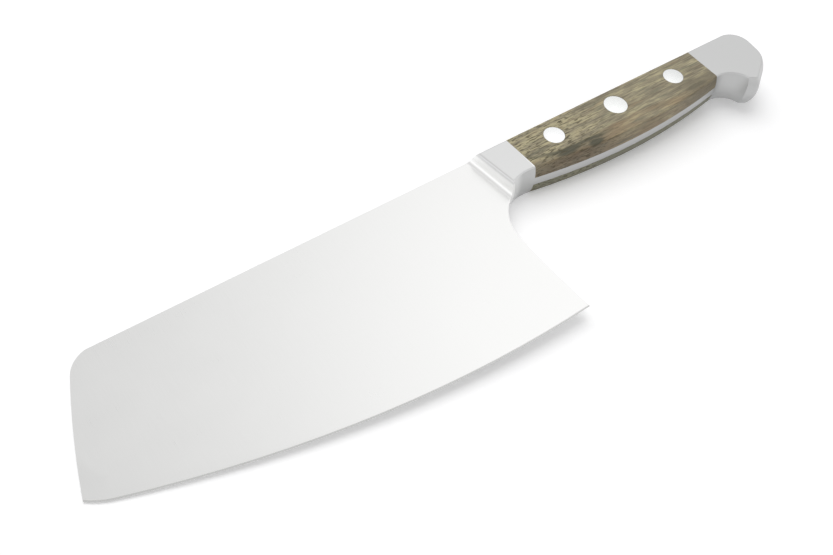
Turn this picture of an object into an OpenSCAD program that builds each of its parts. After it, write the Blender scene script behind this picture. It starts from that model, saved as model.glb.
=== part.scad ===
// Chinese cleaver: one drop-forged piece that is blade, bolster, full tang and butt
// cap, two wooden scales on the tang, and three two-part rivets that clamp them.
// Millimetres. It lies at rest on its right side, +Z up, with +X to the butt and
// +Y to the spine. The origin is on the table, under the middle of the bounding box.
// The knife's own axes have x = 0 where the bolster meets the wood, y = 0 on the
// line of the rivets and z = 0 half way through the thickness.

/* [Blade] */
// Distance from the front of the bolster to the foremost point of the nose
blade_length = 160; // [145:1:180]
// Height of the spine above the rivet line
spine_y = 8.7; // [8:0.1:10]
// Depth of the lowest point of the cutting edge below the rivet line
edge_depth = 59; // [54:0.5:66]
// Distance from the bolster joint forward to the lowest point of the edge
edge_low_x = 34.4; // [28:0.2:44]
// Radius of the long curve of the cutting edge
edge_radius = 409; // [360:1:480]
// Length over which the edge turns up to the tip
tip_run = 7.1; // [5:0.1:10]
// Radius of the edge where it turns up to the tip
tip_radius = 23.6; // [20:0.1:30]
// Lean of the nose at the tip, away from square to the spine
nose_lean = 16; // [10:0.5:20]
// Radius of the slightly bowed nose
nose_radius = 290; // [240:5:400]
// Radius of the corner between the nose and the spine
nose_corner_r = 10; // [6:0.5:14]
// Half thickness at the spine, where the bolster starts
spine_half = 1.9; // [1.8:0.05:2.2]
// Half thickness that the blade loses from the bolster to the nose
distal_taper = 0.3; // [0.1:0.05:0.5]
// Half thickness that the blade loses from the spine to the edge
edge_taper = 1.65; // [1.3:0.05:1.7]
// Width of the honed bevel on each side of the edge
bevel_width = 0.45; // [0.3:0.05:0.6]
// Angle of the honed bevel to the middle of the blade
bevel_angle = 17; // [14:0.5:20]
// Angle of the thinned steel behind the bevel to the middle of the blade
thinning_angle = 4; // [3.5:0.5:6]
// Half thickness of the very edge
edge_half = 0.05; // [0.03:0.01:0.08]

/* [Heel] */
// Radius of the finger curve between the handle and the heel
choil_r = 17.5; // [15:0.5:20]
// Radius of the long curve down the back of the heel
heel_radius = 320; // [260:10:400]

/* [Bolster] */
// Length of the bolster's flat sides along the rivet line
bolster_length = 12.2; // [10:0.1:15]
// Slant of the bolster's front wall
bolster_slant = 8; // [4:0.5:12]
// Draft of the bolster's front wall
wall_draft = 5; // [3:0.5:8]
// Radius of the cove from the front wall down to the blade
cove_r = 2.2; // [1.5:0.1:3]
// Radius that rounds the front edge of the bolster's flat sides
front_ease_r = 1; // [0.6:0.1:1.4]

/* [Handle] */
// Length of the wooden scales
scale_length = 88.2; // [84:0.1:94]
// Thickness across both scales
handle_thickness = 13; // [12:0.1:15]
// Thickness of the tang
tang_thickness = 3.4; // [3:0.1:4]
// Depth of the lowest point of the belly below the rivet line
belly_depth = 13.25; // [12:0.05:15]
// Distance from the bolster joint back to the lowest point of the belly
belly_low_x = 46; // [42:0.5:50]
// Radius of the belly
belly_radius = 260; // [230:5:320]
// Bulge of the handle's back, along the spine
back_crown = 2; // [1.4:0.1:2.4]
// Bulge of the handle's belly
belly_crown = 1.1; // [0.8:0.1:1.6]
// Radius that eases the long edges of the handle
ease_r = 0.7; // [0.4:0.1:1]
// Height by which the steel stands proud of the wood and tang at the joints
steel_proud = 0.05; // [0.03:0.01:0.1]

/* [Butt cap] */
// Length of the butt cap behind the scales
cap_length = 27.7; // [25:0.1:31]
// Radius of the cap's end at the spine
cap_end_r = 9; // [8:0.1:9.5]
// Radius of the cap's end below the rivet line
cap_heel_r = 10.5; // [9.5:0.1:11.5]
// Drop of the centre of that lower radius below the upper one
cap_heel_drop = 4.6; // [3.5:0.1:6]
// Set-back of the cap's end below the rivet line from its end at the spine
cap_heel_setback = 0.6; // [0.2:0.1:1.2]
// Radius of the hollow behind the belly, on the front of the beak
beak_hollow_r = 8.2; // [7.5:0.1:9.5]
// Radius of the tip of the beak
beak_tip_r = 3.4; // [3:0.1:4]
// Distance from the end of the scales back to the beak's tip
beak_x = 13.2; // [12:0.1:15]
// Depth of the beak's tip below the rivet line
beak_depth = 19; // [17:0.1:21]

/* [Rivets] */
// Distance from the bolster joint to the front rivet
first_rivet_x = 15.3; // [13:0.1:18]
// Spacing of the rivets
rivet_pitch = 29.2; // [26:0.1:31]
// Diameter of the front and rear rivet heads
rivet_head_d = 7.7; // [7:0.1:8.4]
// Diameter of the middle rivet heads
middle_head_d = 8.8; // [8:0.1:9.6]
// Depth of a rivet head in the wood
rivet_head_h = 1.6; // [1.2:0.1:2]
// Outer diameter of the hollow shank
sleeve_d = 5; // [4.6:0.1:5.6]
// Diameter of the pin inside the hollow shank
pin_d = 3.2; // [2.8:0.1:3.6]
// Clearance round a head, a shank and a pin, on the radius
rivet_clearance = 0.03; // [0.02:0.01:0.06]
// Gap beyond the end of a shank or pin
rivet_end_gap = 0.3; // [0.2:0.05:0.5]

/* [Hidden] */

steel = [0.80, 0.81, 0.81];
polished = [0.93, 0.94, 0.94];
wood = [0.58, 0.52, 0.41];

half_t = handle_thickness / 2;
tang_half = tang_thickness / 2;
// Length by which a cutting body reaches past what it cuts
past = 5;
// Small overlap, so that two surfaces cross at an angle instead of just touching
cross_over = 0.07;
// Thickness of the slice that the hull of the cap starts from
slice = 0.01;
// Facets of the round bodies, of the long curves and of the cap
$fn = 120;
long_fn = 900;
cap_fn = 40;
// Steps along the arcs of the profiles
crown_steps = 14;
ease_steps = 4;
plan_steps = 16;
cove_steps = 12;
front_steps = 6;
// Angles that the cut at the tip and the rounded front edge of the bolster turn through
tip_sweep = 45;
front_sweep = 75;

function polar(r, a) = r * [cos(a), sin(a)];
function arc(center, r, from, to, steps) =
  [for (i = [0 : steps]) center + polar(r, from + (to - from) * i / steps)];
function angle_of(v) = atan2(v.y, v.x);

// Where the belly is at x, and the centre of a circle outside it that touches it there
belly_center = [belly_low_x, belly_radius - belly_depth];
function belly_point(x) =
  [x, belly_center.y - sqrt(pow(belly_radius, 2) - pow(x - belly_center.x, 2))];
function outside_center(x, r) =
  let (touch = belly_point(x))
  touch + (touch - belly_center) / belly_radius * r;
choil_center = outside_center(0, choil_r);
hollow_center = outside_center(scale_length, beak_hollow_r);

// Front of the bolster at the spine, and the foremost point of the blade
front_x = -bolster_length - spine_y * tan(bolster_slant) - half_t * tan(wall_draft);
tip_x = front_x - blade_length;

// The edge is one long arc, and a short arc inside it that turns up to the tip
edge_center = [-edge_low_x, edge_radius - edge_depth];
turn_x = tip_x + tip_run;
turn_point =
  [turn_x, edge_center.y - sqrt(pow(edge_radius, 2) - pow(turn_x - edge_center.x, 2))];
turn_center = turn_point + (edge_center - turn_point) * tip_radius / edge_radius;
tip = [tip_x, turn_center.y - sqrt(pow(tip_radius, 2) - pow(tip_x - turn_center.x, 2))];

// The nose is an arc through the tip, and the corner is an arc inside it
nose_center = tip + polar(nose_radius, -nose_lean);
corner_y = spine_y + cross_over - nose_corner_r;
corner_center = [
  nose_center.x - sqrt(pow(nose_radius - nose_corner_r, 2) - pow(corner_y - nose_center.y, 2)),
  corner_y
];
function nose_x(y) = nose_center.x - sqrt(pow(nose_radius, 2) - pow(y - nose_center.y, 2));

// Both sides of the blade are planes, and this is the half thickness between them
taper_x = distal_taper / blade_length;
taper_y = edge_taper / (spine_y + edge_depth);
function blade_half(x, y) =
  spine_half + (x - front_x) * taper_x - (spine_y - y) * taper_y;

// Section of a long side of the handle as [inset, z]: a crowned arc whose ends are
// eased into the flat sides. A reach above zero carries the ends on past the flats.
function side_section(crown, reach = 0) =
  let (
    crown_r = (crown * crown + half_t * half_t) / (2 * crown),
    ease_angle = asin((half_t - ease_r) / (crown_r - ease_r)),
    ease_inset = crown_r - (crown_r - ease_r) * cos(ease_angle),
    ease_z = half_t - ease_r,
    bulge = [
      for (a = arc([0, 0], crown_r, -ease_angle, ease_angle, crown_steps))
        [crown_r - a.x, a.y]
    ],
    top = [
      for (a = arc([0, 0], ease_r, ease_angle, 90, ease_steps))
        [ease_inset - a.x, ease_z + a.y]
    ],
    upper = [for (i = [1 : ease_steps - 1]) top[i]],
    lower = [for (i = [ease_steps - 1 : -1 : 1]) [top[i].x, -top[i].y]],
    last = top[ease_steps] + (top[ease_steps] - top[ease_steps - 1]) * reach
  )
  concat([[last.x, -last.y]], lower, bulge, upper, [last]);

// Lower end of the bolster's front edge, where the finger curve cuts its flat side
face_r = choil_r - steel_proud + side_section(belly_crown)[0].x;
function front_edge_x(y) =
  -bolster_length + front_ease_r / cos(bolster_slant) - y * tan(bolster_slant);
function face_end_y(y) =
  choil_center.y + sqrt(pow(face_r, 2) - pow(front_edge_x(y) - choil_center.x, 2));
face_end = let (y = face_end_y(face_end_y(choil_center.y + face_r))) [front_edge_x(y), y];

// The knife lies on the lower edge of its nose and on that end of its bolster
rest_points = [
  [nose_x(0), 0, -blade_half(nose_x(0), 0)],
  [tip.x, tip.y, -blade_half(tip.x, tip.y)],
  [face_end.x, face_end.y, -half_t]
];
rest_cross = cross(rest_points[1] - rest_points[0], rest_points[2] - rest_points[0]);
rest_normal = rest_cross / norm(rest_cross);
middle = [(tip_x + scale_length + cap_length) / 2, (spine_y - edge_depth) / 2];

module at_rest() {
  translate([-middle.x, -middle.y, -rest_normal * rest_points[0]])
    rotate([
      atan2(rest_normal.y, rest_normal.z),
      -atan2(rest_normal.x, norm([rest_normal.y, rest_normal.z])),
      0
    ])
      children();
}

// The back of the handle and blade, straight along x
module back_form(from, to) {
  section = side_section(back_crown, 1);
  bottom = spine_y - edge_depth - 4 * past;
  translate([from, 0, 0]) rotate([90, 0, 90]) linear_extrude(to - from)
    polygon(concat(
      [for (p = section) [spine_y - p.x, p.y]],
      [[bottom, section[len(section) - 1].y], [bottom, section[0].y]]
    ));
}

// The belly of the handle, a ring about the belly's centre with a crowned rim
module belly_form() {
  section = side_section(belly_crown, 1);
  inner = belly_radius - belly_depth - spine_y - 4 * past;
  translate([belly_center.x, belly_center.y, 0]) rotate_extrude($fn = long_fn)
    polygon(concat(
      [for (p = section) [belly_radius - p.x, p.y]],
      [[inner, section[len(section) - 1].y], [inner, section[0].y]]
    ));
}

// A hollow whose wall has the belly's crown, for the finger curve and the beak
module crowned_cutter(center, r) {
  section = side_section(belly_crown, 1);
  top_z = section[len(section) - 1].y;
  widest = section[0].x;
  translate([center.x, center.y, 0]) rotate_extrude()
    polygon(concat(
      [[0, -top_z - past], [r + widest, -top_z - past]],
      [for (p = section) [r + p.x, p.y]],
      [[r + widest, top_z + past], [0, top_z + past]]
    ));
}

// Plan of the blade, carried past the edge, the spine and the bolster's front
module blade_plan() {
  heel_center = [choil_center.x - choil_r + cross_over + heel_radius, choil_center.y];
  heel_end = 180 + asin((edge_depth + past + heel_center.y) / heel_radius);
  nose_end = angle_of(tip - nose_center) + asin(past / nose_radius);
  corner_end = angle_of(corner_center - nose_center);
  polygon(concat(
    [[-bolster_length / 2, spine_y + past], [corner_center.x, spine_y + past]],
    arc(corner_center, nose_corner_r, 90, corner_end, plan_steps),
    arc(nose_center, nose_radius, corner_end, nose_end, plan_steps),
    [[tip_x, -edge_depth - past]],
    arc(heel_center, heel_radius, heel_end, 180, plan_steps),
    [[-bolster_length / 2, choil_center.y]]
  ));
}

// One side plane of the blade, as a thick block under it
module blade_side() {
  thick = 4 * past;
  normal = [-taper_x, -taper_y, 1];
  span = 2 * (blade_length + edge_depth);
  translate([front_x, spine_y, spine_half])
    rotate([-asin(normal.y / norm(normal)), atan2(normal.x, normal.z), 0])
      translate([-span / 2, -span / 2, -thick]) cube([span, span, thick]);
}

// A disc whose rim is ground to the edge from both sides: the steel is thinned towards
// the edge first, and the narrow bevel is honed on it.
module ground_disc(center, r, depth) {
  honed = [r - bevel_width, edge_half + bevel_width * tan(bevel_angle)];
  thinned = [r - depth, honed.y + (depth - bevel_width) * tan(thinning_angle)];
  upper = [thinned, honed, [r, edge_half]];
  translate([center.x, center.y, 0]) rotate_extrude($fn = long_fn)
    polygon(concat(upper, [for (i = [2 : -1 : 0]) [upper[i].x, -upper[i].y]]));
}

module blade() {
  swing = angle_of(turn_point - turn_center);
  difference() {
    intersection() {
      translate([0, 0, -past]) linear_extrude(2 * past) blade_plan();
      blade_side();
      mirror([0, 0, 1]) blade_side();
      ground_disc(edge_center, edge_radius, 2 * edge_depth);
    }
    difference() {
      translate([0, 0, -past]) linear_extrude(2 * past) polygon([
        turn_center,
        turn_center + polar(2 * tip_radius, swing),
        turn_center + polar(2 * tip_radius, swing - tip_sweep),
        turn_center + polar(2 * tip_radius, 180)
      ]);
      ground_disc(turn_center, tip_radius, tip_radius);
    }
  }
}

// Front of the bolster as a wall with a cove at its foot. It stands on the side of
// the blade, so that the cove runs out evenly along its whole length.
module cove_block() {
  foot = -cross_over / 3;
  wall_top = handle_thickness;
  cove_center = [-cove_r / cos(wall_draft), foot + cove_r];
  start_x = -half_t * tan(wall_draft);
  translate([-bolster_length, 0, blade_half(-bolster_length, 0)])
    rotate([atan(taper_y), 0, 0]) rotate([0, 0, bolster_slant]) rotate([90, 0, 0])
      translate([start_x, 0, -2 * spine_y - past]) linear_extrude(3 * spine_y + 3 * past)
        polygon(concat(
          [[2 * bolster_length, -spine_half], [cove_center.x, -spine_half]],
          arc(cove_center, cove_r, -90, -wall_draft, cove_steps),
          [[wall_top * tan(wall_draft), wall_top], [2 * bolster_length, wall_top]]
        ));
}

// Rounds the front edge of both flat sides of the bolster. Its profile leaves the wall
// at the top of the cove.
module front_ease() {
  ease_center = [front_ease_r, half_t - front_ease_r];
  round_edge = arc(ease_center, front_ease_r, 90, 90 + front_sweep, front_steps);
  wall_x = (cove_r - half_t) * tan(wall_draft);
  low = [wall_x - 2 * cross_over, blade_half(-bolster_length, 0) + cove_r];
  upper = concat(round_edge, [low, [-blade_length / 2, low.y]]);
  translate([-bolster_length, 0, 0]) rotate([0, 0, bolster_slant]) rotate([90, 0, 0])
    translate([0, 0, -2 * spine_y - 2 * past]) linear_extrude(3 * spine_y + 5 * past)
      polygon(concat(
        [[2 * bolster_length, half_t]],
        upper,
        [for (i = [len(upper) - 1 : -1 : 0]) [upper[i].x, -upper[i].y]],
        [[2 * bolster_length, -half_t]]
      ));
}

module bolster() {
  intersection() {
    union() {
      cove_block();
      mirror([0, 0, 1]) cove_block();
    }
    front_ease();
    translate([-2 * bolster_length, -edge_depth, -half_t])
      cube([2 * bolster_length, 2 * edge_depth, handle_thickness]);
  }
}

// The tang runs on into the butt cap, so that the two are one body at every length
module tang() {
  intersection() {
    translate([0, -edge_depth, -tang_half])
      cube([scale_length + past, 2 * edge_depth, tang_thickness]);
    belly_form();
  }
}

// A disc of the cap, with the crown of the handle's back round its rim
module cap_disc(center, r) {
  translate([center.x, center.y, 0]) rotate_extrude($fn = cap_fn)
    polygon(concat(
      [[0, -half_t]],
      [for (p = side_section(back_crown)) [r + steel_proud - p.x, p.y]],
      [[0, half_t]]
    ));
}

module butt_cap() {
  end_center = [scale_length + cap_length - cap_end_r, spine_y - cap_end_r];
  heel_center = end_center + [cap_end_r - cap_heel_r - cap_heel_setback, -cap_heel_drop];
  tip_center = [scale_length + beak_x, beak_tip_r - beak_depth];
  back = side_section(back_crown);
  belly = side_section(belly_crown);
  belly_y = belly_point(scale_length).y - steel_proud - cross_over;
  difference() {
    hull() {
      translate([scale_length, 0, 0]) rotate([90, 0, 90]) linear_extrude(slice)
        polygon(concat(
          [for (p = back) [spine_y + steel_proud - p.x, p.y]],
          [for (i = [len(belly) - 1 : -1 : 0]) [belly_y + belly[i].x, belly[i].y]]
        ));
      cap_disc(end_center, cap_end_r);
      cap_disc(heel_center, cap_heel_r);
      cap_disc(tip_center, beak_tip_r);
    }
    crowned_cutter(hollow_center, beak_hollow_r - steel_proud);
  }
}

rivet_x = [for (i = [0 : 2]) first_rivet_x + i * rivet_pitch];
head_d = [rivet_head_d, middle_head_d, rivet_head_d];
head_z = half_t - rivet_head_h;

module rivet_shank_holes() {
  for (x = rivet_x)
    translate([x, 0, -half_t - past])
      cylinder(h = handle_thickness + 2 * past, d = sleeve_d + 2 * rivet_clearance);
}

module forged_blade() {
  color(steel) difference() {
    union() {
      difference() {
        intersection() {
          back_form(tip_x - past, scale_length + 2 * past);
          union() {
            blade();
            bolster();
            tang();
          }
        }
        crowned_cutter(choil_center, choil_r - steel_proud);
      }
      butt_cap();
    }
    rivet_shank_holes();
  }
}

// The left scale. Its counterbores take the rivet heads.
module left_form() {
  difference() {
    intersection() {
      translate([0, -edge_depth, tang_half])
        cube([scale_length, 2 * edge_depth, half_t - tang_half]);
      back_form(-past, scale_length + past);
      belly_form();
    }
    rivet_shank_holes();
    for (i = [0 : 2])
      translate([rivet_x[i], 0, head_z])
        cylinder(h = past, d = head_d[i] + 2 * rivet_clearance);
  }
}

module left_scale() {
  color(wood) left_form();
}

module right_scale() {
  color(wood) mirror([0, 0, 1]) left_form();
}

// Pin half of a rivet: a flush head on the left side and a shank to the far head
module rivet_pin(i) {
  bottom = -head_z + 2 * rivet_end_gap;
  color(polished) translate([rivet_x[i], 0, 0]) {
    translate([0, 0, head_z]) cylinder(h = rivet_head_h, d = head_d[i]);
    translate([0, 0, bottom]) cylinder(h = head_z - bottom + rivet_head_h / 2, d = pin_d);
  }
}

// Hollow half of a rivet: a flush head on the right side and a tube round the pin
module rivet_sleeve(i) {
  color(polished) translate([rivet_x[i], 0, 0]) difference() {
    union() {
      translate([0, 0, -half_t]) cylinder(h = rivet_head_h, d = head_d[i]);
      translate([0, 0, -half_t + rivet_head_h / 2])
        cylinder(h = half_t - rivet_head_h / 2 + head_z - rivet_end_gap, d = sleeve_d);
    }
    translate([0, 0, -head_z + rivet_end_gap])
      cylinder(h = handle_thickness, d = pin_d + 2 * rivet_clearance);
  }
}

at_rest() forged_blade();
at_rest() left_scale();
at_rest() right_scale();
at_rest() rivet_pin(0);  // front_rivet_pin
at_rest() rivet_sleeve(0);  // front_rivet_sleeve
at_rest() rivet_pin(1);  // middle_rivet_pin
at_rest() rivet_sleeve(1);  // middle_rivet_sleeve
at_rest() rivet_pin(2);  // rear_rivet_pin
at_rest() rivet_sleeve(2);  // rear_rivet_sleeve
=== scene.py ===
"""A small full-tang vegetable cleaver that lies on its right side on a white table.

Metres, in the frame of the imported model. The forging, the wooden scales and the rivets
are dressed in the order in which the knife is put together. The table, the light and
the camera come last.
"""

import math

import bmesh
import bpy
import numpy as np
from mathutils import Matrix, Vector


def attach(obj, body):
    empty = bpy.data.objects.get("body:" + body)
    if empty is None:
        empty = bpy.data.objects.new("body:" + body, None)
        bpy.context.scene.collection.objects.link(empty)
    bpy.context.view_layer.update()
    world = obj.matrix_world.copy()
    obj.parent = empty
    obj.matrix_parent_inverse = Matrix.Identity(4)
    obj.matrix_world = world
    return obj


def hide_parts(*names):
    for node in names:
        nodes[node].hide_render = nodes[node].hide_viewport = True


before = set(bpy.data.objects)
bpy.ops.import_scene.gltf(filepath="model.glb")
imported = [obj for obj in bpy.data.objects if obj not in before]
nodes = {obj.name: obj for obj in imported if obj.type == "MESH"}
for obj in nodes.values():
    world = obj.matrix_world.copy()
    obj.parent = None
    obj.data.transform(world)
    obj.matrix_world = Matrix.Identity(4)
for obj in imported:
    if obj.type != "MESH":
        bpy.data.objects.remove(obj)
bpy.context.view_layer.update()


# The forging: blade, bolster, tang and butt cap are one drop-forged piece of stainless steel.
# The blade is ground to a satin finish across its width. The bolster and cap are brushed along
# the handle and painted darker, partly as a duller finish and partly as painted shade. A narrow
# bevel is honed on the cutting edge, and its grey is partly painted shade too.

# Metres on the knife's own axes: x from the joint of bolster and wood to the butt, y
# from the line of the rivets to the spine, and z up from the middle of the thickness
RIVET_TO_BOLSTER = 0.0153
BROAD_FACE_TILT = math.radians(4)
MERGE_REACH = 2e-6
ROUND_ANGLE = math.radians(28)

JOINT_LEAN = math.tan(math.radians(2.7))
JOINT_LOW_Y = -0.009
JOINT_WIDTH = 0.001
JOINT_FADE = 0.003

EDGE_RADIUS = 0.409
EDGE_CENTRE = (-0.0344, 0.350)
EDGE_BELOW_Y = -0.020
HONED_REACH = 0.0019
HONED_TILTS = (math.radians(11), math.radians(25))
EDGE_FLAT_REACH = 0.0004


def corners_of(mesh):
    """The mesh's points as an array of rows x, y, z."""
    flat = np.empty(len(mesh.vertices) * 3, np.float32)
    mesh.vertices.foreach_get("co", flat)
    return flat.reshape(-1, 3).astype(float)


def normals_of(mesh):
    """The normals of the mesh's faces as an array of rows x, y, z."""
    flat = np.empty(len(mesh.polygons) * 3, np.float32)
    mesh.polygons.foreach_get("normal", flat)
    return flat.reshape(-1, 3)


def handle_axes():
    """The knife's own axes as the rows of a matrix, and their origin. Up is the mean
    normal of the broad face of the left scale, weighted by area. Along runs from the
    front rivet to the rear one, and across is up times along. The origin is on the
    line of the rivets, where the bolster meets the wood."""
    mesh = nodes["left_scale"].data
    areas = np.empty(len(mesh.polygons), np.float32)
    mesh.polygons.foreach_get("area", areas)
    normals = normals_of(mesh)
    broad = normals[:, 2] > math.cos(BROAD_FACE_TILT)
    up = (normals[broad] * areas[broad, None]).sum(0)
    up /= np.linalg.norm(up)
    side = np.cross((0, 1, 0), up)
    side /= np.linalg.norm(side)
    other = np.cross(up, side)

    def centre(node):
        points = corners_of(nodes[node].data)
        middle = sum(
            (points @ axis).min() * axis + (points @ axis).max() * axis for axis in (side, other)
        )
        return middle / 2 + up * (points @ up).mean()

    front = centre("front_rivet_pin")
    along = centre("rear_rivet_pin") - front
    along -= up * (along @ up)
    along /= np.linalg.norm(along)
    top = (corners_of(mesh) @ up).max()
    bottom = (corners_of(nodes["right_scale"].data) @ up).min()
    origin = front - along * RIVET_TO_BOLSTER
    origin += up * ((top + bottom) / 2 - origin @ up)
    return np.array([along, np.cross(up, along), up]), origin


axes, origin = handle_axes()


def lean_joint(mesh):
    """Leans the joint between bolster and wood, which slants a little with the
    bolster's front: a point at the joint moves forward in proportion to its height
    above the joint's lower end. The move fades out smoothly on both sides."""
    place = (corners_of(mesh) - origin) @ axes.T
    far = np.clip((np.abs(place[:, 0]) - JOINT_WIDTH) / JOINT_FADE, 0, 1)
    near = (1 - far) ** 2 * (1 + 2 * far)
    rise = np.clip(place[:, 1] - JOINT_LOW_Y, 0, None)
    place[:, 0] -= JOINT_LEAN * rise * near
    mesh.vertices.foreach_set("co", (place @ axes + origin).astype(np.float32).ravel())


def merged_copy(node, name):
    """A copy of the CAD node with its loose corners merged and its joint leaned. It
    shades smooth where it is round, and each face's normal counts by its area."""
    mesh = nodes[node].data.copy()
    build = bmesh.new()
    build.from_mesh(mesh)
    bmesh.ops.remove_doubles(build, verts=build.verts, dist=MERGE_REACH)
    build.to_mesh(mesh)
    build.free()
    mesh.name = name
    if mesh.has_custom_normals:
        mesh.attributes.remove(mesh.attributes["custom_normal"])
    lean_joint(mesh)
    mesh.polygons.foreach_set("use_smooth", np.ones(len(mesh.polygons), bool))
    mesh.set_sharp_from_angle(angle=ROUND_ANGLE)
    piece = bpy.data.objects.new(name, mesh)
    bpy.context.scene.collection.objects.link(piece)
    even = piece.modifiers.new("even_faces", "WEIGHTED_NORMAL")
    even.keep_sharp = True
    return piece


def honed_faces(mesh):
    """Marks the faces of the honed bevel and gives the marks back. They lie along the
    edge's long arc and tilt more than the sides of the blade. The flat of the very
    edge between them is marked too."""
    place = (corners_of(mesh) - origin) @ axes.T
    depth = EDGE_RADIUS - np.hypot(place[:, 0] - EDGE_CENTRE[0], place[:, 1] - EDGE_CENTRE[1])
    loops = np.empty(len(mesh.loops), np.int32)
    mesh.loops.foreach_get("vertex_index", loops)
    faces = loops.reshape(-1, 3)
    tilt = np.arccos(np.clip(np.abs(normals_of(mesh) @ axes[2]), 0, 1))
    bevel = (tilt > HONED_TILTS[0]) & (tilt < HONED_TILTS[1])
    bevel &= (depth[faces] < HONED_REACH).all(1)
    edge_flat = (depth[faces] < EDGE_FLAT_REACH).all(1)
    honed = (bevel | edge_flat) & (place[faces, 1] < EDGE_BELOW_Y).all(1)
    mark = mesh.attributes.new("honed", "FLOAT", "FACE")
    mark.data.foreach_set("value", honed.astype(np.float32))
    return honed


def crisp_borders(mesh, marked):
    """Sharpens each edge that a marked face shares with an unmarked one."""
    build = bmesh.new()
    build.from_mesh(mesh)
    build.faces.ensure_lookup_table()
    for edge in build.edges:
        sides = [marked[face.index] for face in edge.link_faces]
        if len(sides) == 2 and sides[0] != sides[1]:
            edge.smooth = False
    build.to_mesh(mesh)
    build.free()


class Wire:
    """A socket of a material or of the world. Arithmetic on it adds Math nodes, so
    that a pattern can be written as a formula."""

    def __init__(self, tree, socket=None):
        self.tree = tree
        self.socket = socket

    def node(self, kind, settings=None, values=None, output=0):
        """Adds a node of that type. Settings are its own properties, set first, and
        values go into its sockets by name or number, as a Wire or a constant."""
        made = self.tree.nodes.new("ShaderNode" + kind)
        for name, value in (settings or {}).items():
            setattr(made, name, value)
        for name, value in (values or {}).items():
            if isinstance(value, Wire):
                self.tree.links.new(value.socket, made.inputs[name])
            else:
                made.inputs[name].default_value = value
        return Wire(self.tree, made.outputs[output])

    def maths(self, operation, *terms):
        """Adds a Math node that works on these terms, as a Wire or a constant each."""
        return self.node("Math", {"operation": operation}, dict(enumerate(terms)))

    def __add__(self, other):
        return self.maths("ADD", self, other)

    def __radd__(self, other):
        return self.maths("ADD", other, self)

    def __sub__(self, other):
        return self.maths("SUBTRACT", self, other)

    def __rsub__(self, other):
        return self.maths("SUBTRACT", other, self)

    def __mul__(self, other):
        return self.maths("MULTIPLY", self, other)

    def __rmul__(self, other):
        return self.maths("MULTIPLY", other, self)

    def __truediv__(self, other):
        return self.maths("DIVIDE", self, other)

    def __pow__(self, other):
        return self.maths("POWER", self, other)

    def __rpow__(self, other):
        return self.maths("POWER", other, self)

    def __abs__(self):
        return self.maths("ABSOLUTE", self)

    def at_least(self, other):
        """The larger of the two values."""
        return self.maths("MAXIMUM", self, other)

    def at_most(self, other):
        """The smaller of the two values."""
        return self.maths("MINIMUM", self, other)

    def rise(self, low, high):
        """0 below low, 1 above high and a smooth step between them."""
        return self.node(
            "MapRange",
            {"interpolation_type": "SMOOTHSTEP"},
            {"Value": self, "From Min": low, "From Max": high},
        )

    def fall(self, low, high):
        """1 below low, 0 above high and a smooth step between them."""
        return 1 - self.rise(low, high)

    def part(self, axis):
        """The X, Y or Z of a vector."""
        return self.node("SeparateXYZ", {}, {0: self}, axis)

    def moved(self, shift):
        """The vector plus this shift."""
        return self.node("VectorMath", {"operation": "ADD"}, {0: self, 1: shift})

    def noise(self, sizes, detail, shift=(0, 0, 0)):
        """Soft noise about 0.5, on a vector in millimetres. Its patches have these
        sizes, and the shift, counted in patches, makes one noise unlike the next."""
        per_patch = tuple(1 / size for size in sizes)
        cells = self.node("VectorMath", {"operation": "MULTIPLY"}, {0: self, 1: per_patch})
        values = {"Vector": cells.moved(shift), "Scale": 1, "Detail": detail}
        return self.node("TexNoise", {}, values, "Fac")

    def blend(self, first, second):
        """From the first colour at 0 to the second at 1."""
        return self.node("Mix", {"data_type": "RGBA"}, {0: self, 6: first, 7: second}, 2)

    def between(self, first, second):
        """From the first value at 0 to the second at 1."""
        return self.node("Mix", {"data_type": "FLOAT"}, {0: self, 2: first, 3: second})

    def shaded(self, colour):
        """The colour times this value."""
        grey = self.node("CombineColor", {}, {0: self, 1: self, 2: self})
        settings = {"data_type": "RGBA", "blend_type": "MULTIPLY"}
        return self.node("Mix", settings, {0: 1.0, 6: colour, 7: grey}, 2)

    def bump(self, depth, strength):
        """Normals of a relief that is this deep, in metres."""
        return self.node("Bump", {}, {"Height": self, "Distance": depth, "Strength": strength})


def new_finish(name):
    """A new material with its shader, and a Wire in its tree."""
    material = bpy.data.materials.new(name)
    material.use_nodes = True
    shader = material.node_tree.nodes["Principled BSDF"]
    return material, shader, Wire(material.node_tree)


def knife_millimetres(wire):
    """A point on the knife's own axes, in millimetres, from its Object coordinates."""
    return wire.node(
        "Mapping",
        {},
        {
            "Vector": wire.node("TexCoord", {}, {}, "Object"),
            "Location": tuple(-1000 * (axes @ origin)),
            "Rotation": Matrix(axes.tolist()).to_euler("XYZ"),
            "Scale": (1000, 1000, 1000),
        },
    )


def feed(shader, **values):
    """Links each Wire to the shader's socket of that name, and sets each constant."""
    for name, value in values.items():
        socket = shader.inputs[name.replace("_", " ")]
        if isinstance(value, Wire):
            value.tree.links.new(value.socket, socket)
        else:
            socket.default_value = value


SATIN = (0.84, 0.84, 0.832, 1)
# The handle's brushed steel and the cap are darker than the blade, partly as a duller finish and
# partly as painted shade.
BRUSHED_AND_SHADE = (0.72, 0.722, 0.72, 1)
CAP_GREY_AND_SHADE = (0.60, 0.602, 0.60, 1)
# The honed bevel's grey is darker than the satin, partly a honed finish and partly painted
# shade.
HONED_AND_SHADE = (0.70, 0.70, 0.69, 1)
# Darker steel for the handle's narrow sides, partly a duller finish and partly painted shade.
FLANK_DULL_AND_SHADE = (0.51, 0.512, 0.51, 1)
# The next two colours are painted highlight: near-white steel for the bolster's wall and cove,
# and for the glint at the joint.
PAINTED_HIGHLIGHT = (0.97, 0.97, 0.965, 1)
COVE_PAINTED_HIGHLIGHT = (0.93, 0.93, 0.922, 1)
# A darker grey painted along the bolster's eased edge, as painted shade.
EASED_PAINTED_SHADE = (0.73, 0.73, 0.73, 1)

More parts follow.
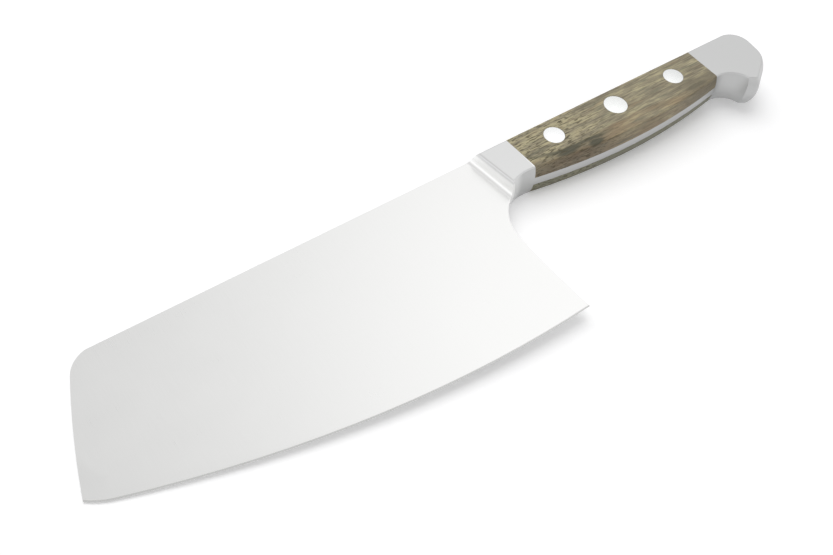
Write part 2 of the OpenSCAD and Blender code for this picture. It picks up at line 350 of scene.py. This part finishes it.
# Where one finish turns into the next, in millimetres on the knife's own axes. The
# slanted distance follows the bolster's front, which slants by 8 degrees.
BOLSTER_SLANT = math.tan(math.radians(8))
BRUSHED_SLANTED = (-13.2, -12.0)
BOLSTER_FLAT_SLANTED = (-11.6, -11.0)
COVE_X = (-24, -21)
FLANK_X = (-9, -5)
CAP_X = (60, 88)
# The painted highlight on the bolster's wall lies within these bounds.
WALL_Y = (-10, -3)
WALL_FOOT_Z = (2.4, 3.1)
WALL_HEAD_Z = (4.8, 5.6)
# Where the painted shade on the eased edge begins, in height.
EASED_Z = (5.0, 5.8)
# Where the painted glint lies, a thin painted highlight along the joint.
GLINT_FRONT_X = (-0.7, -0.2)
GLINT_BACK_X = (0.3, 0.5)
GLINT_Z = (6.35, 6.5)
GLINT_STRENGTH = 0.8

# How level a face is, as the size of its normal's upward part
FLANK_LEVEL = (0.3, 0.6)
COVE_LEVEL = (0.95, 0.998)

# Sizes of the grinding lines, the brushed lines and the clouds of tone, in millimetres
GRIND_SIZES = (0.11, 9, 9)
BRUSH_SIZES = (7, 0.13, 0.13)
CLOUD_SIZES = (26, 17, 17)
STEEL_SHADE = 0.975
SHADE_CHANGE = 0.05
STEEL_ROUGHNESS = 0.30
ROUGHNESS_CHANGE = 0.08
HANDLE_ROUGHER = 0.08
HONED_SMOOTHER = 0.06
STEEL_RELIEF_DEPTH = 0.000004
STEEL_RELIEF_STRENGTH = 0.6


def forged_steel():
    """Satin on the blade and brushed on the handle, whose darker grey is partly painted shade.
    The handle's narrow sides are duller and darker, partly as painted shade. The cove and the
    wall in front of the bolster are painted bright as painted highlight, up to its eased edge,
    which is painted darker as painted shade. At the joint, where the steel stands proud of the
    wood, a painted glint runs along it. The honed bevel is a darker grey, partly as painted
    shade."""
    material, shader, wire = new_finish("forged_steel_satin")
    place = knife_millimetres(wire)
    x = place.part("X")
    y = place.part("Y")
    z = abs(place.part("Z"))
    level = abs(wire.node("TexCoord", {}, {}, "Normal").part("Z"))
    slanted = x + y * BOLSTER_SLANT

    handle = slanted.rise(*BRUSHED_SLANTED)
    before_flat = slanted.fall(*BOLSTER_FLAT_SLANTED)
    # The cove and the wall in front of the bolster get a painted highlight.
    cove_highlight = before_flat * x.rise(*COVE_X) * level.fall(*COVE_LEVEL)
    wall_highlight = before_flat * z.rise(*WALL_FOOT_Z) * z.fall(*WALL_HEAD_Z) * y.rise(*WALL_Y)
    # Painted shade along the eased edge at the top of the bolster's front.
    eased_shade = before_flat * z.rise(*EASED_Z)
    # The narrow, upright sides of the handle, which are painted darker, partly as painted shade.
    flank_dull_and_shade = x.rise(*FLANK_X) * level.fall(*FLANK_LEVEL)
    # A painted highlight along the joint, where the steel stands proud of the wood.
    painted_glint = x.rise(*GLINT_FRONT_X) * x.fall(*GLINT_BACK_X) * z.rise(*GLINT_Z)
    honed = wire.node("Attribute", {"attribute_name": "honed"}, {}, "Fac")

    colour = handle.blend(SATIN, BRUSHED_AND_SHADE)
    colour = x.rise(*CAP_X).blend(colour, CAP_GREY_AND_SHADE)
    colour = flank_dull_and_shade.blend(colour, FLANK_DULL_AND_SHADE)
    colour = cove_highlight.blend(colour, COVE_PAINTED_HIGHLIGHT)
    colour = wall_highlight.blend(colour, PAINTED_HIGHLIGHT)
    colour = eased_shade.blend(colour, EASED_PAINTED_SHADE)
    colour = (painted_glint * GLINT_STRENGTH).blend(colour, PAINTED_HIGHLIGHT)
    # The honed bevel takes its darker grey, partly painted shade.
    colour = honed.blend(colour, HONED_AND_SHADE)

    grind = place.noise(GRIND_SIZES, 2)
    brush = place.noise(BRUSH_SIZES, 2, (3, 1, 7))
    lines = handle.between(grind, brush)
    uneven = (lines - 0.5) + (place.noise(CLOUD_SIZES, 2, (5, 5, 1)) - 0.5)
    colour = (STEEL_SHADE + uneven * SHADE_CHANGE).shaded(colour)
    roughness = STEEL_ROUGHNESS + uneven * ROUGHNESS_CHANGE
    roughness = roughness + handle * HANDLE_ROUGHER - honed * HONED_SMOOTHER
    feed(shader, Metallic=1.0, Base_Color=colour, Roughness=roughness)
    feed(shader, Normal=lines.bump(STEEL_RELIEF_DEPTH, STEEL_RELIEF_STRENGTH))
    return material


forging = merged_copy("forged_blade", "one_piece_forging")
crisp_borders(forging.data, honed_faces(forging.data))
forging.data.materials.clear()
forging.data.materials.append(forged_steel())
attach(forging, "root")
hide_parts("forged_blade")


# The scales: two slabs of old barrel oak, grey-brown with open pores, glued and riveted
# to the tang, then ground flush with the steel and oiled. The two are cut from
# different staves, so each has its own grain.

OAK_KHAKI = (0.455, 0.402, 0.245, 1)
OAK_MID = (0.285, 0.250, 0.168, 1)
OAK_TAUPE = (0.178, 0.152, 0.098, 1)
OAK_WARM = (0.30, 0.205, 0.108, 1)
OAK_RUST = (0.125, 0.087, 0.050, 1)
OAK_GREEN = (0.150, 0.158, 0.105, 1)
OAK_LINE = (0.105, 0.092, 0.056, 1)
PORE = (0.074, 0.062, 0.034, 1)
SMOKE = (0.062, 0.060, 0.036, 1)

# Sizes of the grain's features along, across and into the wood, in millimetres
PATCH_SIZES = (13, 2.2, 2.2)
FIBRE_SIZES = (8, 0.55, 0.55)
FINE_SIZES = (3.2, 0.16, 0.16)
GREEN_SIZES = (11, 1.3, 1.3)
LINE_SIZES = (10, 0.5, 0.5)
PORE_SIZES = (2.8, 0.46, 0.46)
WARM_SIZES = (14, 2.5, 2.5)
WANDER_SIZES = (9, 3, 3)

# Where the wood changes, in millimetres on the knife's own axes
FRONT_X = (20, 42)
REAR_X = (62, 78)
REAR_Y = (-6.5, -2.5)
BELLY_Y = (-11, -5)

# How much each noise moves the wood's tone, which is 0.5 in the middle
PATCH_CONTRAST = 1.8
FIBRE_CONTRAST = 1.7
FINE_CONTRAST = 0.9
FRONT_LIGHTER = 0.24
BELLY_WARMER = 0.22
FRONT_COOLER = 0.05

# Between which values of its tone or noise a colour comes in
MID_FROM = (0.05, 0.55)
KHAKI_FROM = (0.45, 0.95)
GREEN_FROM = (0.52, 0.72)
WARM_FROM = (0.5, 0.85)
RUST_FROM = (0.65, 1.05)
LINE_FROM = (0.56, 0.68)
PORE_FROM = (0.53, 0.62)

# How far a colour covers the wood. A pair holds the shares at the rear and the front,
# and pores are stronger in the lighter patches.
GREEN_SHARE = 0.45
WARM_SHARE = 0.55
RUST_SHARE = 0.85
REAR_SHARE = 0.75
RIGHT_GREEN_AND_SHADE_SHARE = 0.72
LINE_SHARES = (0.35, 0.55)
PORE_SHARES = (0.25, 0.95)
PORE_COVER = 0.9
PORE_BASE = 0.4

OAK_ROUGHNESS = 0.50
FINE_ROUGHER = 0.2
PORE_ROUGHER = 0.2
FIBRE_RELIEF = 0.5
FINE_RELIEF = 0.3
GRAIN_DEPTH = 0.00006
GRAIN_STRENGTH = 0.8

# Smoke, in millimetres. Its band starts SMOKE_DROP above SMOKE_DEPTH at the joint, and
# keeps SMOKE_DECAY of that height for each millimetre along. Its patches are given by
# their middle x and y, half length and half width.
SMOKE_DEPTH = -8.6
SMOKE_DROP = 5.0
SMOKE_DECAY = 0.90
SMOKE_WANDER = 2
SMOKE_HALF_WIDTH = (0.1, 1.3)
SMOKE_GAINS_X = (3, 13)
SMOKE_AT_JOINT = 0.6
SMOKE_ENDS_X = (26, 38)
SMOKE_PATCHES = ((15, -8.2, 6, 1.6), (26, -10.2, 3.5, 1.4), (78, -8.3, 5.5, 1.2))
PATCH_BORDER = (0.3, 1.4)
SMOKE_BASE = 0.7
SMOKE_IN_FIBRE = 0.5


def smoke_stain(x, y, wander):
    """Where smoke has darkened the wood: a band that sinks from the joint towards the
    belly, and patches that are ellipses. Both wander up and down along the grain."""
    y = y + wander * SMOKE_WANDER
    sunk = SMOKE_DEPTH + SMOKE_DROP * SMOKE_DECAY ** x.at_least(0.0)
    band = abs(y - sunk).fall(*SMOKE_HALF_WIDTH)
    stain = band * x.fall(*SMOKE_ENDS_X) * x.rise(*SMOKE_GAINS_X).between(SMOKE_AT_JOINT, 1.0)
    for middle_x, middle_y, half_length, half_width in SMOKE_PATCHES:
        off_x = (x - middle_x) / half_length
        off_y = (y - middle_y) / half_width
        stain = stain.at_least((off_x ** 2 + off_y ** 2).fall(*PATCH_BORDER))
    return stain


def barrel_oak(name, shift, stained):
    """Oak whose grain runs along the handle. Its fibres, dark lines and open pores are noise
    stretched along the grain. The pores are strong near the bolster and faint behind it. A
    stained scale has smoke in it, and is redder at the belly and greyer at the rear. The other
    one is greener and darker, partly its own colour and partly painted shade. The shift moves
    the grain."""
    material, shader, wire = new_finish(name)
    place = knife_millimetres(wire)
    x = place.part("X")
    y = place.part("Y")
    front = x.fall(*FRONT_X)

    wood = place.moved(shift)
    patch = wood.noise(PATCH_SIZES, 2, (9, 4, 2))
    fibre = wood.noise(FIBRE_SIZES, 3, (1, 2, 3))
    fine = wood.noise(FINE_SIZES, 2, (4, 2, 8))
    green = wood.noise(GREEN_SIZES, 2, (6, 1, 9)).rise(*GREEN_FROM)
    lines = wood.noise(LINE_SIZES, 2, (2, 8, 5)).rise(*LINE_FROM)
    pores = wood.noise(PORE_SIZES, 1, (7, 7, 1)).rise(*PORE_FROM)
    pores = pores * front.between(*PORE_SHARES) * (PORE_BASE + patch)

    tone = 0.5 + (patch - 0.5) * PATCH_CONTRAST + (fibre - 0.5) * FIBRE_CONTRAST
    tone = tone + (fine - 0.5) * FINE_CONTRAST + front * FRONT_LIGHTER
    colour = tone.rise(*MID_FROM).blend(OAK_TAUPE, OAK_MID)
    colour = tone.rise(*KHAKI_FROM).blend(colour, OAK_KHAKI)
    colour = (green * GREEN_SHARE).blend(colour, OAK_GREEN)
    if stained:
        belly = y.fall(*BELLY_Y)
        warm = wood.noise(WARM_SIZES, 2, (3, 3, 6)) + belly * BELLY_WARMER - front * FRONT_COOLER
        rust = belly * front * (fibre + patch).rise(*RUST_FROM)
        smoke = smoke_stain(x, y, wood.noise(WANDER_SIZES, 3, (8, 3, 4)) - 0.5)
        rear = x.rise(*REAR_X) * y.fall(*REAR_Y)
        colour = (warm.rise(*WARM_FROM) * WARM_SHARE).blend(colour, OAK_WARM)
        colour = (rust * RUST_SHARE).blend(colour, OAK_RUST)
        colour = (smoke * (SMOKE_BASE + fibre * SMOKE_IN_FIBRE)).blend(colour, SMOKE)
        colour = (rear * REAR_SHARE).blend(colour, OAK_TAUPE)
    else:
        # The right scale is blended towards a darker green, partly its own colour and partly
        # painted shade.
        values = {0: RIGHT_GREEN_AND_SHADE_SHARE, 6: colour, 7: OAK_GREEN}
        colour = wire.node("Mix", {"data_type": "RGBA"}, values, 2)
    colour = (lines * front.between(*LINE_SHARES)).blend(colour, OAK_LINE)
    colour = (pores * PORE_COVER).blend(colour, PORE)
    roughness = OAK_ROUGHNESS + (fine - 0.5) * FINE_ROUGHER + pores * PORE_ROUGHER
    relief = fibre * FIBRE_RELIEF + fine * FINE_RELIEF - pores
    feed(shader, Base_Color=colour, Roughness=roughness)
    feed(shader, Normal=relief.bump(GRAIN_DEPTH, GRAIN_STRENGTH))
    return material


for side, shift, stained in (("left", (0, 0, 0), True), ("right", (40, 13, 21), False)):
    scale = merged_copy(side + "_scale", side + "_oak_scale")
    scale.data.materials.clear()
    scale.data.materials.append(barrel_oak(side + "_barrel_oak", shift, stained))
    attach(scale, "root")
    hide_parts(side + "_scale")


# The rivets: each is a stainless pin pressed into a stainless sleeve through both scales and the
# tang. Their heads are ground flush with the wood and polished. The middle and rear ones are
# painted a little darker, as painted shade.

# One polished steel in three shades: the darker middle and rear heads are painted shade.
RIVET_STEEL_LIT_AND_SHADED = {
    "front": (0.90, 0.905, 0.905, 1),
    "middle": (0.85, 0.86, 0.85, 1),
    "rear": (0.80, 0.81, 0.805, 1),
}
HEAD_DEPTH = 0.0016
HEAD_EASE = 0.00015
SHANK_RADIUS = 0.0016
TUBE_OUTSIDE = 0.0025
TUBE_BORE = 0.00163
TUBE_FLOOR = 0.0003
TURN_STEPS = 96
EASE_STEPS = 5
HEAD_SHARP = math.radians(40)

SCRATCH_SIZES = (2.5, 0.09, 0.09)
SMUDGE_SIZES = (2.2, 1.6, 1.6)
RIVET_SHADE = 0.98
SCRATCH_SHADE = 0.05
SMUDGE_SHADE = 0.06
RIVET_ROUGHNESS = 0.22
SCRATCH_ROUGHNESS = 0.12


def lathe(name, middle, profile):
    """A surface of revolution. Each point (radius, height) of the profile is carried
    round the rivet's axis, and its first and last points lie on that axis."""
    turn = np.linspace(0, 2 * math.pi, TURN_STEPS, endpoint=False)
    profile = np.asarray(profile)
    rings = profile[1:-1]
    out = np.cos(turn)[:, None] * axes[0] + np.sin(turn)[:, None] * axes[1]
    grid = middle + rings[:, 0, None, None] * out + rings[:, 1, None, None] * axes[2]
    poles = middle + profile[[0, -1], 1, None] * axes[2]
    index = np.arange(len(rings) * TURN_STEPS).reshape(len(rings), TURN_STEPS)
    after = np.roll(index, -1, 1)
    walls = np.stack([index[:-1], index[1:], after[1:], after[:-1]], -1).reshape(-1, 4)
    first = np.stack([np.full(TURN_STEPS, index.size), index[0], after[0]], -1)
    last = np.stack([np.full(TURN_STEPS, index.size + 1), after[-1], index[-1]], -1)
    mesh = bpy.data.meshes.new(name)
    corners = np.concatenate([grid.reshape(-1, 3), poles])
    mesh.from_pydata(corners.tolist(), [], walls.tolist() + first.tolist() + last.tolist())
    mesh.polygons.foreach_set("use_smooth", np.ones(len(mesh.polygons), bool))
    mesh.set_sharp_from_angle(angle=HEAD_SHARP)
    piece = bpy.data.objects.new(name, mesh)
    bpy.context.scene.collection.objects.link(piece)
    return piece


def rivet_half(node):
    """The middle of a rivet half, its head's radius, and the heights of its ends."""
    place = (corners_of(nodes[node].data) - origin) @ axes.T
    low, high = place.min(0), place.max(0)
    middle = (low + high) / 2
    return middle[:2] @ axes[:2] + origin, (high[0] - low[0]) / 2, low[2], high[2]


def eased_head(radius, face, inward):
    """Half the section of a head, from its middle round its eased edge to its back.
    The edge is a quarter of a circle. Inward is 1 where the rivet lies above the face
    and -1 where it lies below."""
    turn = np.linspace(0, math.pi / 2, EASE_STEPS)
    rim = radius - HEAD_EASE * (1 - np.sin(turn))
    height = face + inward * HEAD_EASE * (1 - np.cos(turn))
    return [(0, face)] + list(zip(rim, height)) + [(radius, face + inward * HEAD_DEPTH)]


def pin_section(radius, low, high):
    """Half the section of a pin half: its head on top, and a solid shank down to low."""
    shank = [(SHANK_RADIUS, high - HEAD_DEPTH), (SHANK_RADIUS, low), (0, low)]
    return eased_head(radius, high, -1) + shank


def sleeve_section(radius, low, high):
    """Half the section of a sleeve half: its head at the bottom, and a tube up to high
    whose bore ends in a floor above the head. It runs the other way round, from the
    floor to the head, so that its faces point outwards too."""
    back = low + HEAD_DEPTH
    floor = back + TUBE_FLOOR
    tube = [(TUBE_OUTSIDE, back), (TUBE_OUTSIDE, high), (TUBE_BORE, high), (TUBE_BORE, floor)]
    return (eased_head(radius, low, 1) + tube + [(0, floor)])[::-1]


def rivet_finish(name, colour):
    """Polished steel with fine scratches along the handle and a few smudges."""
    material, shader, wire = new_finish(name)
    place = knife_millimetres(wire)
    scratches = place.noise(SCRATCH_SIZES, 2) - 0.5
    smudge = place.noise(SMUDGE_SIZES, 2, (3, 3, 3)) - 0.5
    shade = RIVET_SHADE + scratches * SCRATCH_SHADE + smudge * SMUDGE_SHADE
    roughness = RIVET_ROUGHNESS + scratches * SCRATCH_ROUGHNESS
    feed(shader, Metallic=1.0, Base_Color=shade.shaded(colour), Roughness=roughness)
    return material


for which, colour in RIVET_STEEL_LIT_AND_SHADED.items():
    finish = rivet_finish(which + "_rivet_steel", colour)
    for half, section in (("pin", pin_section), ("sleeve", sleeve_section)):
        middle, radius, low, high = rivet_half(which + "_rivet_" + half)
        rivet = lathe(which + "_steel_" + half, middle, section(radius, low, high))
        rivet.data.materials.append(finish)
        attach(rivet, "root")
        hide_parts(which + "_rivet_" + half)


# The table: a white sheet that runs out of view. It glows a little wherever it is
# seen, directly or in the steel, so that only the soft shadow shows.

TABLE_HALF = 3.0
TABLE_WHITE = (0.92, 0.92, 0.925, 1)
TABLE_ROUGHNESS = 0.9
TABLE_GLOW = (0.22, 0.22, 0.22, 1)
NO_GLOW = (0, 0, 0, 1)


def ray(wire, kind):
    """1 for rays of that kind and 0 for others."""
    return wire.node("LightPath", {}, {}, "Is " + kind + " Ray")


def white_table():
    """Matt white, with a faint glow that is seen but lights nothing."""
    material, shader, wire = new_finish("table_white")
    seen = (ray(wire, "Camera") + ray(wire, "Glossy") + ray(wire, "Transmission")).at_most(1.0)
    glow = seen.blend(NO_GLOW, TABLE_GLOW)
    feed(shader, Base_Color=TABLE_WHITE, Roughness=TABLE_ROUGHNESS, Specular_IOR_Level=0.0)
    feed(shader, Emission_Color=glow, Emission_Strength=1.0)
    return material


table_mesh = bpy.data.meshes.new("table")
table_mesh.from_pydata(
    [(x * TABLE_HALF, y * TABLE_HALF, 0) for x, y in ((-1, -1), (1, -1), (1, 1), (-1, 1))],
    [],
    [(0, 1, 2, 3)],
)
table_mesh.materials.append(white_table())
table = bpy.data.objects.new("table", table_mesh)
bpy.context.scene.collection.objects.link(table)


# The light: a white tent all round, as the steel mirrors it. Its roof is brightest over
# the heel and dimmer away from there, its walls are white, and a bright strip hangs on
# the left. One broad soft lamp behind the spine adds the shadow.

TENT_LIGHT = 0.52
ROOF_DIM = 0.78
ROOF_BRIGHT = 0.58
BRIGHT_PLACE = (0.46, 0.26)
BRIGHT_REACH = (0.30, 0.36)
WALL_WHITE = 0.98
WALL_TOP = (0.25, 0.55)
STRIP_BRIGHT = 0.42
STRIP_EAST = (-0.85, -0.30)
STRIP_BOTTOM = (0.20, 0.45)
STRIP_TOP = (0.60, 0.80)
LAMP_FROM = (0.0, 0.40, 0.92)
LAMP_AWAY = 1.2
LAMP_SIZE = 1.1
LAMP_WATTS = 7.6


def tent_seen_in_steel(direction):
    """How bright the tent is in a direction, for what mirrors it: white walls that
    turn into the roof with height. The roof is ROOF_DIM plus a bell curve round its
    bright place."""
    east = direction.part("X")
    north = direction.part("Y")
    height = direction.part("Z")
    off_east = (east - BRIGHT_PLACE[0]) / BRIGHT_REACH[0]
    off_north = (north - BRIGHT_PLACE[1]) / BRIGHT_REACH[1]
    away = 0 - (off_east ** 2 + off_north ** 2)
    roof = ROOF_DIM + away.maths("EXPONENT", away) * ROOF_BRIGHT
    over = height.rise(*WALL_TOP)
    strip = east.fall(*STRIP_EAST) * height.rise(*STRIP_BOTTOM) * height.fall(*STRIP_TOP)
    return over.between(WALL_WHITE, roof) + strip * STRIP_BRIGHT


world = bpy.data.worlds.new("white_tent")
world.use_nodes = True
bpy.context.scene.world = world
tent = Wire(world.node_tree)
mirrored = (ray(tent, "Glossy") + ray(tent, "Transmission")).at_most(1.0)
in_steel = tent_seen_in_steel(tent.node("TexCoord", {}, {}, "Generated"))
strength = ray(tent, "Camera").between(mirrored.between(TENT_LIGHT, in_steel), 1.0)
background = world.node_tree.nodes["Background"]
background.inputs["Color"].default_value = (1, 1, 1, 1)
world.node_tree.links.new(strength.socket, background.inputs["Strength"])

lamp_data = bpy.data.lights.new("soft_lamp", "AREA")
lamp_data.size = LAMP_SIZE
lamp_data.energy = LAMP_WATTS
lamp = bpy.data.objects.new("soft_lamp", lamp_data)
bpy.context.scene.collection.objects.link(lamp)
lamp.location = Vector(LAMP_FROM).normalized() * LAMP_AWAY
lamp.rotation_euler = Vector(LAMP_FROM).to_track_quat("Z", "Y").to_euler()
lamp.visible_glossy = False


# The camera stands over the nose, looks down along the blade and is rolled a little.
# Its lens is given in widths of the picture.

CAMERA_PLACE = (-0.163322, -0.139089, 0.246531)
CAMERA_HEADING = math.radians(-43.1176)
CAMERA_TILT = math.radians(90 - 50.8727)
CAMERA_ROLL = math.radians(9.0746)
SENSOR_WIDTH = 36
LENS_PER_WIDTH = 1000 / 833

camera_data = bpy.data.cameras.new("camera")
camera_data.sensor_width = SENSOR_WIDTH
camera_data.lens = SENSOR_WIDTH * LENS_PER_WIDTH
camera_data.clip_start = 0.01
camera_data.clip_end = 20
camera = bpy.data.objects.new("camera", camera_data)
bpy.context.scene.collection.objects.link(camera)
camera.matrix_world = (
    Matrix.Translation(CAMERA_PLACE)
    @ Matrix.Rotation(CAMERA_HEADING, 4, "Z")
    @ Matrix.Rotation(CAMERA_TILT, 4, "X")
    @ Matrix.Rotation(CAMERA_ROLL, 4, "Z")
)
bpy.context.scene.camera = camera
bpy.context.scene.view_settings.view_transform = "Standard"

bpy.context.view_layer.update()
